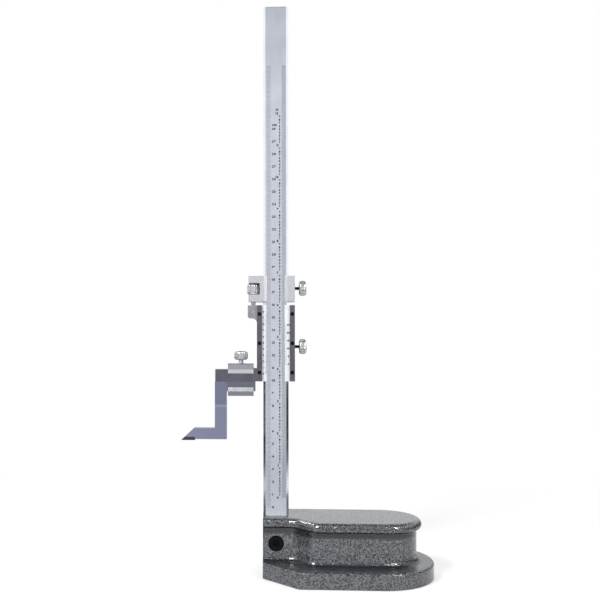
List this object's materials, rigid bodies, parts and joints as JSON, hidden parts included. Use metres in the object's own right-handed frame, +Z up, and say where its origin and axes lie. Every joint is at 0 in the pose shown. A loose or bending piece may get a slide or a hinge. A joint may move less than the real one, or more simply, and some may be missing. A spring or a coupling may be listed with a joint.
{
  "type": "vernier height gauge",
  "caption": "Vernier height gauge: cast base, graduated column, sliding vernier head with jaw, fine adjustment carrier, and a clamped carbide-tipped scriber.",
  "frame": {"origin": "on the sole of the base, under the column's axis", "axes": "+Z up along the column, +X towards the round end of the base, -Y out of the graduated face"},
  "size_m": [0.1986, 0.088, 0.4508],
  "materials": {
    "hammertone": "glossy grey hammertone paint",
    "satin_chrome": "satin chrome, etched graduations",
    "plate_chrome": "pearl satin chrome",
    "bright_steel": "fine ground steel",
    "dark_steel": "dark ground steel",
    "scriber_steel": "ground tool steel",
    "carbide": "ground carbide",
    "black_oxide": "black oxide",
    "knob_chrome": "bright chrome"
  },
  "bodies": {
    "root": {"base_casting": "hammertone", "column": "satin_chrome", "column_clamp_screw": "black_oxide", "column_foot_screws": "black_oxide"},
    "slider": {"slider_rear_channel": "bright_steel", "slider_jaw_frame": "dark_steel", "slider_right_strip": "dark_steel", "slider_strip_screws": "black_oxide", "vernier_plate_mm": "plate_chrome", "vernier_plate_inch": "plate_chrome", "slider_gib": "bright_steel", "slider_gib_screws": "black_oxide", "fine_adjust_screw": "bright_steel", "fine_screw_pin": "bright_steel"},
    "slider_lock_screw": {"slider_lock_stem": "black_oxide"},
    "slider_knob": {"slider_lock_knob": "knob_chrome"},
    "carrier": {"carrier_left_block": "bright_steel", "carrier_right_block": "bright_steel", "carrier_rear_plate": "bright_steel", "carrier_plate_screws": "black_oxide", "carrier_gib": "bright_steel"},
    "carrier_lock_screw": {"carrier_lock_stem": "black_oxide"},
    "carrier_knob": {"carrier_lock_knob": "knob_chrome"},
    "fine_nut": {"fine_adjust_nut": "knob_chrome"},
    "clamp": {"scriber_clamp_frame": "bright_steel"},
    "clamp_screw": {"clamp_pressure_pad": "dark_steel", "clamp_screw_stem": "bright_steel"},
    "clamp_knob": {"clamp_screw_knob": "knob_chrome"},
    "scriber": {"scriber": "scriber_steel", "carbide_tip": "carbide"}
  },
  "joints": [
    {"name": "slider_slide", "type": "slide", "parent": "root", "child": "slider", "axis": [0, 0, 1], "range_m": [-0.1058, 0.1942]},
    {"name": "slider_lock_advance", "type": "slide", "parent": "slider", "child": "slider_lock_screw", "axis": [1, 0, 0], "range_m": [0, 0.00045]},
    {"name": "slider_lock_turn", "type": "hinge", "parent": "slider_lock_screw", "child": "slider_knob", "pos_m": [0.0212, 0, 0.1798], "axis": [1, 0, 0], "range_deg": [0, 361]},
    {"name": "carrier_slide", "type": "slide", "parent": "slider", "child": "carrier", "axis": [0, 0, 1], "range_m": [-0.0021, 0.0021]},
    {"name": "fine_nut_turn", "type": "hinge", "parent": "carrier", "child": "fine_nut", "pos_m": [-0.018, -0.0018, 0.2256], "axis": [0, 0, 1], "range_deg": [-1083, 1083]},
    {"name": "carrier_lock_advance", "type": "slide", "parent": "carrier", "child": "carrier_lock_screw", "axis": [1, 0, 0], "range_m": [0, 0.00045]},
    {"name": "carrier_lock_turn", "type": "hinge", "parent": "carrier_lock_screw", "child": "carrier_knob", "pos_m": [0.0212, 0, 0.2262], "axis": [1, 0, 0], "range_deg": [0, 361]},
    {"name": "clamp_slide", "type": "slide", "parent": "slider", "child": "clamp", "axis": [1, 0, 0], "range_m": [-0.0095, 0]},
    {"name": "clamp_screw_advance", "type": "slide", "parent": "clamp", "child": "clamp_screw", "axis": [0, 0, 1], "range_m": [0, 0.00039]},
    {"name": "clamp_screw_turn", "type": "hinge", "parent": "clamp_screw", "child": "clamp_knob", "pos_m": [-0.0277, -0.00355, 0.1727], "axis": [0, 0, 1], "range_deg": [0, 202]},
    {"name": "scriber_slide", "type": "slide", "parent": "clamp", "child": "scriber", "axis": [1, 0, 0], "range_m": [-0.012, 0]}
  ],
  "couplings": [
    {"joint": "slider_lock_turn", "follows": "slider_lock_advance", "rad_per_m": 13963},
    {"joint": "fine_nut_turn", "follows": "carrier_slide", "rad_per_m": 8976},
    {"joint": "carrier_lock_turn", "follows": "carrier_lock_advance", "rad_per_m": 13963},
    {"joint": "clamp_screw_turn", "follows": "clamp_screw_advance", "rad_per_m": 8976}
  ]
}
